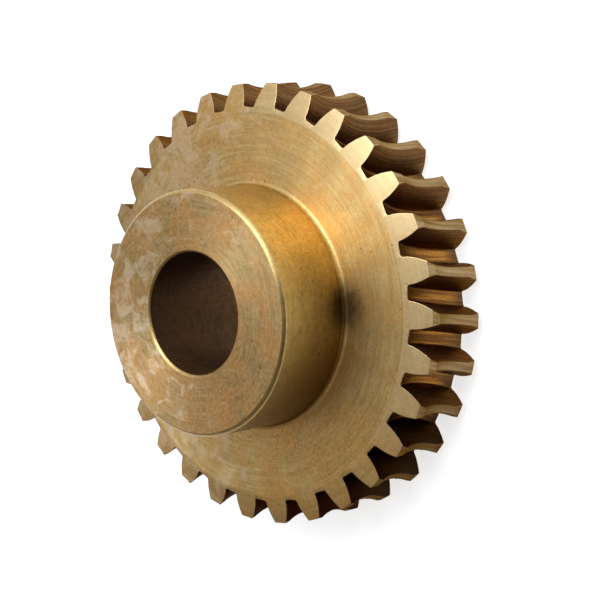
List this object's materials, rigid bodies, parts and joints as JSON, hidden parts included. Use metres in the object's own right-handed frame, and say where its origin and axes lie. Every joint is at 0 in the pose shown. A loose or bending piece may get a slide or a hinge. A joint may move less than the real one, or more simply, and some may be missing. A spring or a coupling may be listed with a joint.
{
  "type": "worm wheel",
  "caption": "Throated bronze worm wheel with right-hand helical teeth, flat side faces and a cylindrical hub on its front, round a plain through bore.",
  "frame": {"origin": "centre of the bore at the plain back face, which the wheel rests on", "axes": "+Z along the bore axis, towards the hub; +X through the middle of a tooth space"},
  "size_m": [0.0816, 0.0816, 0.032],
  "materials": {
    "bronze": "turned, satin, lightly oxidised"
  },
  "bodies": {
    "root": {"worm_wheel": "bronze"}
  },
  "joints": []
}
